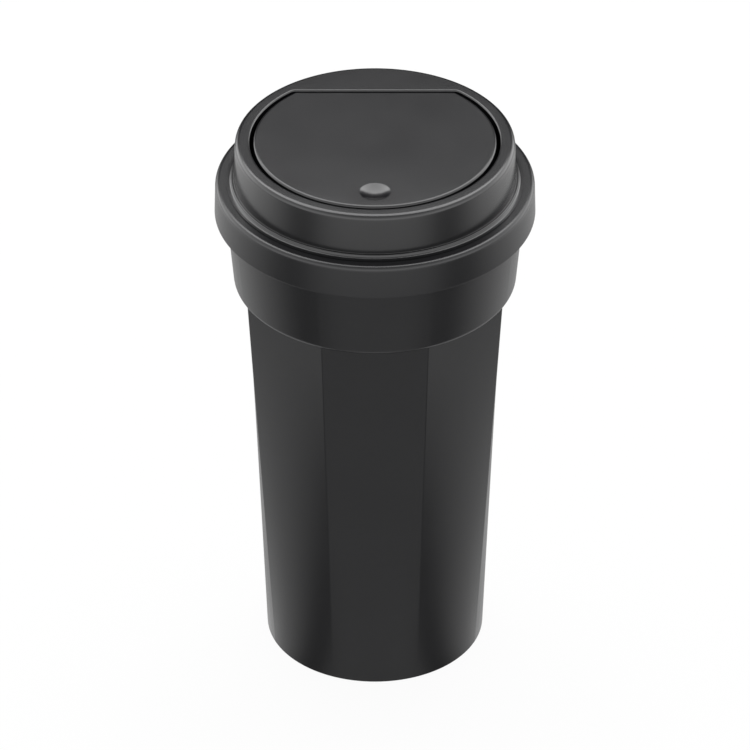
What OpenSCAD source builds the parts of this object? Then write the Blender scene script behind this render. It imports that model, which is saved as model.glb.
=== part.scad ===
// Car trash bin in the form of a lidded drinks cup.
// A tapering eight-sided bucket stands in a cup holder. A collar presses over its mouth,
// and a drum-shaped lid snaps into the collar. The lid's deck holds a D-shaped flap that
// swings down on a pin under the deck's straight edge and is returned by a torsion spring.
// Millimetres. The origin is the centre of the base, +Z is up, and the flap's thumb
// dimple lies towards -Y, so that the straight hinge edge lies towards +Y.

/* [Bucket] */
// Diameter of the round base, sized for a cup holder
base_d = 65.2; // [58:0.2:72]
// Height of the flat-sided body, from the base to the shoulder
body_h = 123.5; // [90:0.5:150]
// Number of flats round the body
body_sides = 8; // [8:2:12]
// Radius of the corners between the flats at the top of the body
corner_r = 0.8; // [0.4:0.1:2]
// Wall thickness of the body and the shoulder
wall = 1.8; // [1.2:0.1:2.4]
// Thickness of the floor
floor_t = 2.2; // [1.6:0.1:3.2]
// Rounding between the floor and the wall inside
floor_edge = 2; // [1:0.25:4]
// Depth of the recess under the floor
foot_h = 1.2; // [0.6:0.1:2]
// Width of the ring that the bin stands on
foot_w = 3; // [2:0.25:6]
// Rounding of the base's outer edge
base_edge = 0.5; // [0.3:0.1:1.2]

/* [Shoulder] */
// Height of the shoulder, from the body to the collar
shoulder_h = 24.5; // [14:0.5:34]
// How far the shoulder stands out over the body's flats
shoulder_ledge = 4.3; // [3:0.1:6]
// Height of the shoulder's rounded lower edge
shoulder_round = 2.9; // [1.5:0.1:4]
// How far the shoulder widens on its way up to the collar
shoulder_flare = 1.9; // [0.5:0.1:3]
// Wall thickness of the mouth that stands up inside the collar
mouth_wall = 1.5; // [1.2:0.1:2.2]

/* [Collar] */
// Height of the collar
collar_h = 10.3; // [9:0.1:14]
// How far the collar stands out over the shoulder
collar_overhang = 3.4; // [3.2:0.1:6]
// Thickness of the collar's outer skirt
collar_skirt = 1.8; // [1.2:0.1:2.2]
// Thickness of the collar's flat top
collar_top_t = 2.2; // [1.6:0.1:3]
// Thickness of the collar's inner wall, which enters the mouth
guide_wall = 1.1; // [0.9:0.1:1.6]
// Rounding of the collar's upper edge
collar_edge = 1.5; // [0.8:0.1:1.7]
// Draft of the collar's outside, in degrees
collar_draft = 1.4; // [0.5:0.1:3]
// Number of grip ribs round the inside of the skirt
grip_ribs = 24; // [12:4:36]
// Width of each grip rib
grip_rib_w = 1.2; // [0.8:0.1:2]

/* [Lid] */
// Diameter of the lid's drum at its foot
lid_d = 81.4; // [72:0.2:90]
// Height of the lid above the collar
lid_h = 13.6; // [13:0.1:20]
// Wall thickness of the drum
lid_wall = 1.8; // [1.8:0.1:2.4]
// Thickness of the lid's deck
deck_t = 2; // [1.5:0.1:2.5]
// Rounding of the drum's upper edge
lid_edge = 1.6; // [0.8:0.1:1.7]
// Draft of the drum's outside, in degrees
lid_draft = 2.2; // [0.5:0.1:3]
// How far the drum's foot flange stands out
flange_w = 1.8; // [1:0.1:2.4]
// Height of the foot flange
flange_h = 2; // [1:0.1:2.5]
// Wall thickness of the spigot that enters the collar
spigot_wall = 1.4; // [1.2:0.1:1.8]
// How far the snap bead stands out of the spigot
bead_w = 0.6; // [0.3:0.1:0.8]
// Width of the deck's lip round the opening
deck_lip = 2.3; // [1.8:0.1:4]
// Width of the deck behind the opening's straight edge
back_deck = 13.7; // [11.7:0.25:16.7]
// Rounding of the opening's upper edge
edge_round = 0.6; // [0.2:0.05:0.8]

/* [Flap] */
// Gap between the flap and the opening's round edge
flap_gap = 1; // [0.8:0.05:1.5]
// Gap between the flap and the opening's straight edge
flap_back_gap = 1.6; // [1.2:0.05:2.2]
// Thickness of the flap's plate
flap_t = 2; // [1.6:0.1:2.4]
// Rounding of the flap's upper edge
flap_edge = 0.9; // [0.3:0.05:1.1]
// Depth of the skirt round the flap, from the deck's level
flap_skirt = 4.6; // [4:0.1:5]
// Thickness of the flap's skirt
flap_skirt_t = 1.6; // [1.2:0.1:2]
// Thickness of the ribs under the flap
flap_rib_t = 1.4; // [1:0.1:2]
// How far the stop lip reaches under the deck's lip
stop_reach = 1.3; // [0.8:0.1:1.5]
// Half of the angle that the stop lip covers at the front
stop_angle = 26; // [10:1:35]
// How far the flap swings down, in degrees
flap_open = 55; // [30:1:55]
// Diameter of the thumb dimple
dimple_d = 9.2; // [6:0.2:14]
// Depth of the thumb dimple
dimple_depth = 1; // [0.5:0.1:1.2]
// Distance from the flap's front edge to the dimple's centre
dimple_in = 8.5; // [8:0.1:17]

/* [Hinge] */
// Diameter of the hinge pin
pin_d = 2; // [1.5:0.1:2.6]
// Distance between the outer faces of the two lugs
lug_span = 42.8; // [38:0.2:44]
// Thickness of each lug
lug_t = 3; // [2:0.25:4]
// Diameter of each lug's round end
lug_d = 5.6; // [4.6:0.1:6]
// Diameter of the flap's hinge barrels
barrel_d = 5.2; // [4.4:0.1:5.6]
// Length of each hinge barrel
barrel_l = 9; // [5:0.5:10]
// Thickness of the arms that carry each barrel
arm_t = 2.4; // [1.5:0.1:3]
// Space between the barrels and the deck above them
barrel_gap = 0.85; // [0.5:0.05:1.5]
// Thickness of the heel that stops the open flap
heel_t = 1.6; // [1.2:0.1:2]
// Diameter of the spring's wire
wire_d = 0.6; // [0.4:0.05:0.8]
// Turns in the spring's coil
coil_turns = 8; // [4:1:12]
// Length of the spring leg that lifts the flap
flap_leg = 16; // [10:0.5:22]
// Length of the spring leg that bears on the deck
deck_leg = 6; // [4:0.25:6.5]

/* [Clearances] */
// Radial clearance of the pin in the barrels
pin_play = 0.05; // [0.02:0.01:0.1]
// Radial clearance of the pin in the lugs
lug_play = 0.02; // [0.01:0.01:0.05]
// Clearance between the spigot and the collar
snap_play = 0.2; // [0.1:0.05:0.3]
// Clearance between the collar and the bucket's mouth
slip = 0.3; // [0.2:0.05:0.5]
// Clearance that the flap's stops leave to the deck
rest_gap = 0.3; // [0.1:0.05:0.5]
// Side clearance between the barrels and the lugs
side_play = 0.35; // [0.2:0.05:0.6]
// Clearance between the spring's coil and the pin
coil_play = 0.55; // [0.3:0.05:0.7]
// Clearance between the spring's legs and what they bear on
leg_play = 0.1; // [0.05:0.05:0.3]

/* [Hidden] */
$fn = 96;
black = "#2c2c2e";
steel = "#a9abae";

// Overlap of joined solids, and overrun of cutters
eps = 0.5;

// Small fixed forms: draft inside the foot, lead-ins and edges
foot_draft = 0.3;
collar_foot_edge = 0.4;
guide_share = 0.45;
guide_lead_w = 0.3;
guide_lead_h = 0.8;
bead_land = 0.3;
rib_inset = 1;

// Small fixed forms of the flap and the hinge
lug_setback = 0.2;
pin_inset = 0.2;
pin_chamfer = 0.3;
window_play = 2;
rib_setback = 0.4;
lip_setback = 0.5;
boss_share = 0.7;
boss_rim = 0.5;

// Radii, from the lid's bore outwards
base_r = base_d / 2;
bore_r = lid_d / 2 - lid_wall;
spigot_r = bore_r + spigot_wall;
guide_r = spigot_r + snap_play;
mouth_in_r = guide_r + guide_wall + slip;
mouth_r = mouth_in_r + mouth_wall;
collar_r = mouth_r + collar_overhang;
skirt_in_r = collar_r - collar_skirt;
shoulder_r = mouth_r - shoulder_flare;
apothem = shoulder_r - shoulder_ledge;
drum_r = lid_d / 2;
flange_r = drum_r + flange_w;
opening_r = bore_r - deck_lip;
opening_chord = drum_r - back_deck;
flap_r = opening_r - flap_gap;
dimple_y = flap_r - dimple_in;

// Levels, from the base upwards
floor_z = foot_h + floor_t;
collar_z = body_h + shoulder_h;
collar_top = collar_z + collar_h;
mouth_top = collar_top - collar_top_t;
guide_z = mouth_top - collar_h * guide_share;
bead_top = guide_z - snap_play;
spigot_z = bead_top - bead_w - bead_land;
deck_top = collar_top + lid_h;
deck_under = deck_top - deck_t;
flap_under = deck_top - flap_t;
skirt_z = deck_top - flap_skirt;

// Hinge
flap_chord = opening_chord - flap_back_gap;
pin_r = pin_d / 2;
lug_r = lug_d / 2;
barrel_r = barrel_d / 2;
hinge_y = opening_chord + lug_r + lug_setback;
hinge_z = deck_under - barrel_gap - barrel_r;
lug_x = lug_span / 2 - lug_t;
barrel_x1 = lug_x - side_play;
barrel_x0 = barrel_x1 - barrel_l;
pin_l = lug_span - 2 * pin_inset;

// The heel meets the deck at this angle above the horizontal when the flap is open
heel_rise = 40;
heel_angle = flap_open - heel_rise;
heel_r = heel_t / 2;
heel_l = (deck_under - hinge_z - heel_r - rest_gap) / sin(heel_rise);

// Spring
wire_r = wire_d / 2;
coil_r = pin_r + coil_play + wire_r;
coil_pitch = wire_d * 1.2;
coil_steps = 16;
wire_sides = 8;
window_w = coil_turns * coil_pitch + 2 * window_play;

// Points on each flat, on half a corner, and up the body
flat_steps = 6;
corner_steps = 2;
rise_steps = 6;

// Points of an arc about [x, z], from one angle to another
function arc(x, z, r, from, to, steps = 8) =
    [for (k = [0:steps]) let (a = from + (to - from) * k / steps) [x + r * cos(a), z + r * sin(a)]];

// How far a round edge of radius e has drawn in, as [height, inset] pairs from its lower end
function edge_steps(e) = [for (a = [0:30:90]) [e * (1 - cos(a)), e * (1 - sin(a))]];

// Share of a flat's half width that is straight, at the top of the body
function straight_share(a, corner) =
    let (half = (a - corner) * tan(180 / body_sides), bend = corner * PI / body_sides) half / (half + bend);

// One point of the flat-sided outline, at u from -1 to 1 across a flat that faces +Y
function flat_point(a, corner, u) =
    let (
        share = straight_share(a, corner),
        half = (a - corner) * tan(180 / body_sides),
        past = max(abs(u) - share, 0) / (1 - share) * 180 / body_sides
    )
    [sign(u) * (half * min(abs(u) / share, 1) + corner * sin(past)), a - corner + corner * cos(past)];

// The places across one flat at which the body's outline is drawn
function flat_places(share) = concat(
    [for (k = [0:corner_steps - 1]) -1 + (1 - share) * k / corner_steps],
    [for (k = [0:flat_steps]) share * (2 * k / flat_steps - 1)],
    [for (k = [1:corner_steps - 1]) share + (1 - share) * k / corner_steps]
);

function turned(p, a) = [p[0] * cos(a) - p[1] * sin(a), p[0] * sin(a) + p[1] * cos(a)];

// One ring of the body: the share t of the way from the base's circle to the flat-sided outline
function body_ring(r, a, corner, t, z) = [
    for (side = [0:body_sides - 1], u = flat_places(straight_share(a, corner)))
        let (
            circle_point = [r * sin(u * 180 / body_sides), r * cos(u * 180 / body_sides)],
            p = turned(circle_point * (1 - t) + flat_point(a, corner, u) * t, 180 - side * 360 / body_sides)
        )
        [p[0], p[1], z]
];

function middle(ring) = [for (p = ring) 1] * ring / len(ring);

// A closed solid through rings that have the same number of points, with a fan at each end
module skin(rings) {
    n = len(rings[0]);
    last = len(rings) - 1;
    foot = len(rings) * n;
    sides = [
        for (i = [0:last - 1], j = [0:n - 1])
            let (p = i * n + j, q = i * n + (j + 1) % n)
            each [[p, q + n, p + n], [p, q, q + n]]
    ];
    ends = [
        for (j = [0:n - 1])
            let (k = (j + 1) % n)
            each [[foot, k, j], [foot + 1, last * n + j, last * n + k]]
    ];
    points = concat([for (ring = rings) each ring], [middle(rings[0]), middle(rings[last])]);
    polyhedron(points, concat(sides, ends), convexity = 6);
}

// The body's form, ruled from a circle at the base to the flats at body_h, between two levels
module body_loft(inset, corner, edge, z0, z1) {
    steps = edge_steps(edge);
    rise = z1 - z0 - edge;
    levels = concat(
        [for (s = steps) [z0 + s[0], s[1]]],
        [for (k = [1:rise_steps]) [z0 + edge + rise * k / rise_steps, 0]]
    );
    skin([
        for (l = levels)
            body_ring(base_r - inset - l[1], apothem - inset - l[1], corner, min(l[0] / body_h, 1), l[0])
    ]);
}

// The shoulder's profile, inset by t from its outside and raised by t at its ledge
function shoulder_profile(t, top) = concat(
    [[0, body_h + t]],
    [
        for (k = [0:8])
            let (a = 90 * k / 8, start = apothem - t - eps)
            [start + (shoulder_ledge + eps) * sin(a), body_h + t + shoulder_round * (1 - cos(a))]
    ],
    top
);

module bucket() {
    color(black)
    difference() {
        union() {
            body_loft(0, corner_r, base_edge, 0, body_h + wall * 0.8);
            rotate_extrude()
                polygon(shoulder_profile(0, [[mouth_r, collar_z], [mouth_r, mouth_top], [0, mouth_top]]));
        }
        body_loft(wall, corner_r / 2, floor_edge, floor_z, body_h + wall + eps);
        rotate_extrude()
            polygon(shoulder_profile(wall, [
                [mouth_r - wall, collar_z - 1],
                [mouth_in_r, collar_z],
                [mouth_in_r, mouth_top + eps],
                [0, mouth_top + eps]
            ]));
        foot_recess();
    }
}

// The recess that leaves a ring to stand on, with a drafted wall
module foot_recess() {
    r = base_r - foot_w;
    translate([0, 0, -eps])
        cylinder(r1 = r + eps * foot_draft, r2 = r - foot_h * foot_draft, h = foot_h + eps);
}

module collar() {
    top_r = collar_r - collar_h * tan(collar_draft);
    color(black) {
        rotate_extrude()
            polygon(concat(
                arc(collar_r - collar_foot_edge, collar_z + collar_foot_edge, collar_foot_edge, -90, 0, 3),
                arc(top_r - collar_edge, collar_top - collar_edge, collar_edge, 0, 90),
                [
                    [guide_r, collar_top],
                    [guide_r, guide_z],
                    [guide_r + guide_wall - guide_lead_w, guide_z],
                    [guide_r + guide_wall, guide_z + guide_lead_h],
                    [guide_r + guide_wall, mouth_top],
                    [skirt_in_r, mouth_top],
                    [skirt_in_r, collar_z]
                ]
            ));
        for (i = [0:grip_ribs - 1])
            rotate(i * 360 / grip_ribs) grip_rib();
    }
}

// A rib that bears on the outside of the bucket's mouth
module grip_rib() {
    r = mouth_r + slip;
    translate([r, -grip_rib_w / 2, collar_z + rib_inset])
        cube([skirt_in_r - r + eps, grip_rib_w, mouth_top - collar_z - rib_inset + eps]);
}

// A block under the D outline, round to radius r and straight at y = chord, from z0 to z1.
// Its upper edge is rounded by e, outwards where the block is a cutter.
module d_block(r, chord, z0, z1, e, cutter = false) {
    span = 2 * r + 10;
    way = cutter ? 1 : -1;
    rise = cutter ? eps : 0;
    edge = [for (k = [0:5]) let (a = 18 * k) [way * e * (1 - cos(a)), z1 - e + e * sin(a)]];
    intersection() {
        rotate_extrude()
            polygon(concat(
                [[0, z0], [r, z0]],
                [for (p = edge) [r + p[0], p[1]]],
                [[r + way * e, z1 + rise], [0, z1 + rise]]
            ));
        rotate([90, 0, 90])
            translate([0, 0, -span / 2])
                linear_extrude(span)
                    polygon(concat(
                        [[-span, z0 - 1], [chord, z0 - 1]],
                        [for (p = edge) [chord + p[0], p[1]]],
                        [[chord + way * e, z1 + 1], [-span, z1 + 1]]
                    ));
    }
}

module lid_ring() {
    foot_z = collar_top + flange_h;
    top_r = drum_r - (lid_h - flange_h) * tan(lid_draft);
    flange_edge = min(flange_h * 0.4, flange_w * 0.45);
    foot_fillet = flange_w / 2;
    color(black)
    difference() {
        union() {
            rotate_extrude()
                polygon(concat(
                    [
                        [bore_r, spigot_z],
                        [spigot_r, spigot_z],
                        [spigot_r + bead_w, bead_top - bead_land],
                        [spigot_r + bead_w, bead_top],
                        [spigot_r, bead_top],
                        [spigot_r, collar_top],
                        [flange_r, collar_top]
                    ],
                    arc(flange_r - flange_edge, foot_z - flange_edge, flange_edge, 0, 90, 5),
                    arc(drum_r + foot_fillet, foot_z + foot_fillet, foot_fillet, 270, 180, 4),
                    arc(top_r - lid_edge, deck_top - lid_edge, lid_edge, 0, 90),
                    [[0, deck_top], [0, deck_under], [bore_r, deck_under]]
                ));
            for (side = [-1, 1])
                translate([side * (lug_x + lug_t / 2), hinge_y, hinge_z]) lug();
        }
        d_block(opening_r, opening_chord, deck_under - eps, deck_top, edge_round, true);
        along_x(lug_span + 1) circle(pin_r + lug_play);
    }
}

// A lug that hangs from the deck, centred on the pin
module lug() {
    rotate([90, 0, 90])
        translate([0, 0, -lug_t / 2])
            linear_extrude(lug_t) {
                circle(lug_r);
                translate([-lug_r, 0]) square([lug_d, deck_under - hinge_z + eps]);
            }
}

// A shape extruded along the hinge's axis, centred on x
module along_x(length, x = 0) {
    translate([x - length / 2, hinge_y, hinge_z])
        rotate([90, 0, 90])
            linear_extrude(length) children();
}

module flap() {
    inner_r = flap_r - flap_skirt_t;
    inner_chord = flap_chord - flap_skirt_t;
    dish_r = (dimple_d * dimple_d / 4 + dimple_depth * dimple_depth) / (2 * dimple_depth);
    color(black)
    difference() {
        union() {
            difference() {
                d_block(flap_r, flap_chord, skirt_z, deck_top, flap_edge);
                d_block(inner_r, inner_chord, skirt_z - eps, flap_under, 0.01);
                spring_window();
            }
            flap_ribs(inner_r, inner_chord);
            dimple_boss();
            stop_lip();
            for (side = [-1, 1])
                translate([side * (barrel_x0 + barrel_x1) / 2, 0, 0]) barrel();
        }
        along_x(lug_span) circle(pin_r + pin_play);
        translate([0, -dimple_y, deck_top + dish_r - dimple_depth]) sphere(dish_r, $fn = 120);
    }
}

// The gap in the skirt that the spring's leg passes through
module spring_window() {
    translate([-window_w / 2, flap_chord - flap_skirt_t - eps, skirt_z - eps])
        cube([window_w, flap_skirt_t + 2 * eps, flap_under - skirt_z + eps]);
}

// Ribs in line with the arms, and one across
module flap_ribs(inner_r, inner_chord) {
    h = flap_under - skirt_z - rib_setback;
    intersection() {
        translate([0, 0, flap_under - h])
            linear_extrude(h + eps)
                intersection() {
                    circle(inner_r + eps);
                    translate([-inner_r, -flap_r]) square([2 * inner_r, flap_r + inner_chord + eps]);
                }
        union() {
            for (x = rib_places())
                translate([x - flap_rib_t / 2, -flap_r, flap_under - h - 1])
                    cube([flap_rib_t, 2 * flap_r, h + eps + 1]);
            translate([-flap_r, -flap_rib_t / 2, flap_under - h - 1])
                cube([2 * flap_r, flap_rib_t, h + eps + 1]);
        }
    }
}

// Ribs run on from the arms' middles
function rib_places() = [
    for (side = [-1, 1], x = [barrel_x0 + arm_t / 2, barrel_x1 - arm_t / 2]) side * x
];

// Extra thickness under the dimple, so that the plate isn't thin there
module dimple_boss() {
    h = dimple_depth * boss_share;
    translate([0, -dimple_y, flap_under - h])
        cylinder(r1 = dimple_d / 2 + boss_rim - 2 * h, r2 = dimple_d / 2 + boss_rim, h = h + eps);
}

// The lip at the flap's front, which rests against the underside of the deck
module stop_lip() {
    lip_r = opening_r + stop_reach;
    lip_top = deck_under - rest_gap;
    reach = 2 * lip_r;
    intersection() {
        translate([0, 0, skirt_z + lip_setback])
            difference() {
                cylinder(r = lip_r, h = lip_top - skirt_z - lip_setback);
                translate([0, 0, -1]) cylinder(r = flap_r - flap_skirt_t / 2, h = flap_skirt + 2);
            }
        translate([0, 0, skirt_z - 1])
            linear_extrude(flap_skirt + 2)
                polygon([
                    [0, 0],
                    [-reach * sin(stop_angle), -reach * cos(stop_angle)],
                    [reach * sin(stop_angle), -reach * cos(stop_angle)]
                ]);
    }
}

// One hinge barrel with its two arms and its heel, centred on x = 0
module barrel() {
    along_x(barrel_l) circle(barrel_r);
    for (side = [-1, 1])
        along_x(arm_t, side * (barrel_l - arm_t) / 2) arm_shape();
    along_x(barrel_l - 2 * arm_t, 0) heel_shape();
}

// The arm's outline about the pin, with the flap to its left
module arm_shape() {
    back = flap_chord - flap_skirt_t / 2 - hinge_y;
    polygon([
        [back, skirt_z - hinge_z],
        [back, flap_under - hinge_z],
        [back + flap_skirt_t / 2 - 0.2, flap_under - hinge_z],
        [flap_chord - hinge_y, barrel_r],
        [0, barrel_r],
        [0, -barrel_r],
        [-barrel_r, -barrel_r * 0.4]
    ]);
}

// The heel's outline about the pin, pointing back and down
module heel_shape() {
    rotate(-heel_angle) {
        translate([0, -heel_r]) square([heel_l, heel_t]);
        translate([heel_l, 0]) circle(heel_r);
    }
}

module hinge_pin() {
    color(steel)
    translate([-pin_l / 2, hinge_y, hinge_z])
        rotate([0, 90, 0]) {
            cylinder(r1 = pin_r - pin_chamfer, r2 = pin_r, h = pin_chamfer);
            translate([0, 0, pin_chamfer]) cylinder(r = pin_r, h = pin_l - 2 * pin_chamfer);
            translate([0, 0, pin_l - pin_chamfer])
                cylinder(r1 = pin_r, r2 = pin_r - pin_chamfer, h = pin_chamfer);
        }
}

// The tilt at which a leg that is tangent to the coil rises to a height above the pin
function leg_tilt(length, rise) = atan2(length, coil_r) - acos(rise / norm([coil_r, length]));

// A point on the coil at angle a, counted from the top towards the flap
function coil_point(x, a) = [x, hinge_y - coil_r * sin(a), hinge_z + coil_r * cos(a)];

// The wire's path, from the tip under the deck, round the pin, to the tip under the flap
function wire_path() =
    let (
        flap_tilt = leg_tilt(flap_leg, flap_under - hinge_z - wire_r - leg_play),
        deck_tilt = leg_tilt(deck_leg, deck_under - hinge_z - wire_r - leg_play),
        from = deck_tilt,
        to = 360 * coil_turns - flap_tilt,
        steps = coil_turns * coil_steps,
        half = coil_turns * coil_pitch / 2,
        start = coil_point(half, from),
        end = coil_point(-half, to)
    )
    concat(
        [start + deck_leg * [0, cos(deck_tilt), sin(deck_tilt)]],
        [for (k = [0:steps]) coil_point(half * (1 - 2 * k / steps), from + (to - from) * k / steps)],
        [end + flap_leg * [0, -cos(flap_tilt), sin(flap_tilt)]]
    );

function unit(v) = v / norm(v);

// A ring of the wire at p, square to the direction d
function wire_ring(p, d) =
    let (side = unit([1, 0, 0] - d[0] * d), up = cross(d, side))
    [for (k = [0:wire_sides - 1]) let (a = -360 * k / wire_sides) p + wire_r * (cos(a) * side + sin(a) * up)];

module return_spring() {
    path = wire_path();
    last = len(path) - 1;
    color(steel)
        skin([
            for (i = [0:last])
                wire_ring(path[i], unit(path[min(i + 1, last)] - path[max(i - 1, 0)]))
        ]);
}

bucket();
collar();
lid_ring();
flap();
hinge_pin();
return_spring();
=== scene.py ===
"""Looks of the car trash bin: its black mouldings and steel hinge, the studio and the camera.

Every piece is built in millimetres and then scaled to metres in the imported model's frame: the origin is the
centre of the base, +Z is up, the flap's thumb dimple lies towards -Y and its hinge towards +Y.
"""

import logging
from collections.abc import Iterable, Sequence
from dataclasses import dataclass, field, replace
from enum import Enum
from math import acos, asin, atan2, copysign, cos, degrees as to_degrees, hypot, pi, radians, sin, sqrt, tan

import bmesh
import bpy
from bmesh.types import BMEdge, BMesh, BMVert
from bpy.types import Material, Node, NodeSocket, NodeTree, Object
from mathutils import Matrix, Vector


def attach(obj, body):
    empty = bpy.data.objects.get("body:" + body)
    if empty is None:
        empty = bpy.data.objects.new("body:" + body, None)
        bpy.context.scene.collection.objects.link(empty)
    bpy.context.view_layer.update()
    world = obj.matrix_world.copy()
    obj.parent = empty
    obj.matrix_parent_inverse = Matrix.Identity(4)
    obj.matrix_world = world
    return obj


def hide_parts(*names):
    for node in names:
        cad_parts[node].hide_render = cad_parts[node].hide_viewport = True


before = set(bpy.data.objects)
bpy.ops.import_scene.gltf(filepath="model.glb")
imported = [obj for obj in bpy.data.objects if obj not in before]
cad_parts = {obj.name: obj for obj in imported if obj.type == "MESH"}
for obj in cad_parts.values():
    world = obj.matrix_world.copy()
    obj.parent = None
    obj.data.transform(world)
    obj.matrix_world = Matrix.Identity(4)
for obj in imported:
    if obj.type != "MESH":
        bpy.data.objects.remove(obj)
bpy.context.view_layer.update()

MM = 0.001
SINK = 0.5  # How far ribs and webs run into the wall that carries them
QUARTER_TURN = [radians(15 * k) for k in range(7)]  # The steps round a rounded edge
ROUND_STEPS = 48  # The steps round the pin and the tubes about it
ORIGIN = Vector()
UP = Vector((0, 0, 1))
ALONG_X = Vector((1, 0, 0))
Point = tuple[float, float]
Points = Sequence[Point]
Stops = tuple[Point, ...]
Rings = list[list[Vector]]
Source = Node | NodeSocket
log = logging.getLogger("trash_bin")


class Body(Enum):
    """The bodies that the pieces ride on."""

    BUCKET = "bucket"
    LID = "lid"
    FLAP = "flap"


class Slot(Enum):
    """The record's material slots."""

    PLASTIC = "black_plastic"
    STEEL = "steel"


def linear(hex_colour: str) -> tuple[float, float, float, float]:
    """Turn an sRGB hex colour into linear RGBA.

    Args:
        hex_colour: Six hex digits after a hash sign.

    Returns:
        The linear colour, with an alpha of 1.
    """
    channels = [int(hex_colour[i : i + 2], 16) / 255 for i in (1, 3, 5)]
    return (*(c / 12.92 if c <= 0.04045 else ((c + 0.055) / 1.055) ** 2.4 for c in channels), 1.0)


def add_node(tree: NodeTree, kind: str, inputs: dict | None = None, **settings: object) -> Node:
    """Add a node with its settings and links.

    Args:
        tree: The node tree.
        kind: The node's type.
        inputs: A value, a socket, or a node that stands for its first output, for each input.
        **settings: The node's own attributes.

    Returns:
        The new node.
    """
    node = tree.nodes.new(kind)
    for key, value in settings.items():
        setattr(node, key, value)
    for socket, value in (inputs or {}).items():
        source = value.outputs[0] if isinstance(value, Node) else value
        if isinstance(source, NodeSocket):
            tree.links.new(source, node.inputs[socket])
        else:
            node.inputs[socket].default_value = source
    return node


def empty_material(name: str) -> tuple[Material, NodeTree]:
    """Make a material without nodes.

    Args:
        name: The material's name.

    Returns:
        The material and its cleared tree.
    """
    material = bpy.data.materials.new(name)
    material.use_nodes = True
    material.node_tree.nodes.clear()
    return material, material.node_tree


@dataclass(frozen=True)
class MouldedPolypropylene:
    """Black polypropylene from a blasted mould.

    The eye sees a neutral near-black with broad soft reflections, a very fine blasted grain, and slow changes
    in sheen and tone where the melt flowed.
    """

    name: str
    colour: str
    flow_colour: str
    roughness: float
    roughness_swing: float
    specular: float
    grain_mm: float
    grain_depth_mm: float
    ior: float = 1.49
    flow_mm: float = 26.0
    flow_low: float = 0.3
    flow_high: float = 0.7

    def build(self) -> Material:
        """Make the material, with its patterns on Object coordinates.

        Returns:
            The material.
        """
        material, tree = empty_material(self.name)
        place = add_node(tree, "ShaderNodeTexCoord").outputs["Object"]
        waves = {"Vector": place, "Scale": 1 / (self.flow_mm * MM), "Detail": 3.0, "Roughness": 0.55}
        flow = add_node(tree, "ShaderNodeTexNoise", waves)
        # The blasted grain is finer than a pixel of the render, so it is drawn coarser than it is
        pits = {"Vector": place, "Scale": 1 / (self.grain_mm * MM), "Detail": 2.0, "Roughness": 0.6}
        grain = add_node(tree, "ShaderNodeTexNoise", pits)
        depth = self.grain_depth_mm * MM
        bump = add_node(tree, "ShaderNodeBump", {"Height": grain, "Distance": depth, "Strength": 1.0})
        tint = add_node(tree, "ShaderNodeValToRGB", {"Fac": flow})
        ends = ((self.flow_low, self.colour), (self.flow_high, self.flow_colour))
        for stop, (place_on_ramp, colour) in zip(tint.color_ramp.elements, ends):
            stop.position = place_on_ramp
            stop.color = linear(colour)
        gloss = {
            "Value": flow,
            "From Min": self.flow_low,
            "From Max": self.flow_high,
            "To Min": self.roughness - self.roughness_swing,
            "To Max": self.roughness + self.roughness_swing,
        }
        finish = {
            "Base Color": tint,
            "Roughness": add_node(tree, "ShaderNodeMapRange", gloss),
            "IOR": self.ior,
            "Specular IOR Level": self.specular,
            "Normal": bump,
        }
        shader = add_node(tree, "ShaderNodeBsdfPrincipled", finish)
        add_node(tree, "ShaderNodeOutputMaterial", {"Surface": shader})
        return material


@dataclass(frozen=True)
class DrawnSteel:
    """Drawn spring steel: a bright grey metal with fine lines that the die left along the wire."""

    name: str
    colour: str
    roughness: float
    line_mm: float = 0.12
    stretch: float = 20.0
    smoothest: float = 0.8
    roughest: float = 1.3

    def build(self) -> Material:
        """Make the material, whose gloss varies from line to line.

        Returns:
            The material.
        """
        material, tree = empty_material(self.name)
        place = add_node(tree, "ShaderNodeTexCoord").outputs["Object"]
        # The lines run along the pin, so the pattern is stretched along X
        along = add_node(tree, "ShaderNodeMapping", {"Vector": place, "Scale": (1 / self.stretch, 1.0, 1.0)})
        scale = 1 / (self.line_mm * MM)
        lines = add_node(tree, "ShaderNodeTexNoise", {"Vector": along, "Scale": scale, "Detail": 2.0})
        low, high = self.roughness * self.smoothest, self.roughness * self.roughest
        gloss = add_node(tree, "ShaderNodeMapRange", {"Value": lines, "To Min": low, "To Max": high})
        finish = {"Base Color": linear(self.colour), "Metallic": 1.0, "Roughness": gloss}
        shader = add_node(tree, "ShaderNodeBsdfPrincipled", finish)
        add_node(tree, "ShaderNodeOutputMaterial", {"Surface": shader})
        return material


def polar(radius: float, degrees: float) -> Point:
    """Find the point at a radius and an angle.

    Args:
        radius: The distance from the origin.
        degrees: The angle from the first axis.

    Returns:
        The point's two coordinates.
    """
    return radius * cos(radians(degrees)), radius * sin(radians(degrees))


def arc(x: float, z: float, radius: float, start: float, end: float, steps: int = 8) -> list[Point]:
    """Lay points on an arc.

    Args:
        x: The centre's first coordinate.
        z: Its second one.
        radius: The radius.
        start: The first angle in degrees.
        end: The last one.
        steps: The steps between them.

    Returns:
        The points, with both ends.
    """
    places = [polar(radius, start + (end - start) * k / steps) for k in range(steps + 1)]
    return [(x + a, z + b) for a, b in places]


def fractions(count: int) -> list[float]:
    """Divide the way from 0 to 1 evenly.

    Args:
        count: The steps.

    Returns:
        The steps' ends, without 0.
    """
    return [(k + 1) / count for k in range(count)]


def verts_of(geometry: Iterable[object]) -> list[BMVert]:
    """Pick the vertices out of some mesh elements.

    Args:
        geometry: The elements.

    Returns:
        The vertices.
    """
    return [item for item in geometry if isinstance(item, BMVert)]


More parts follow.
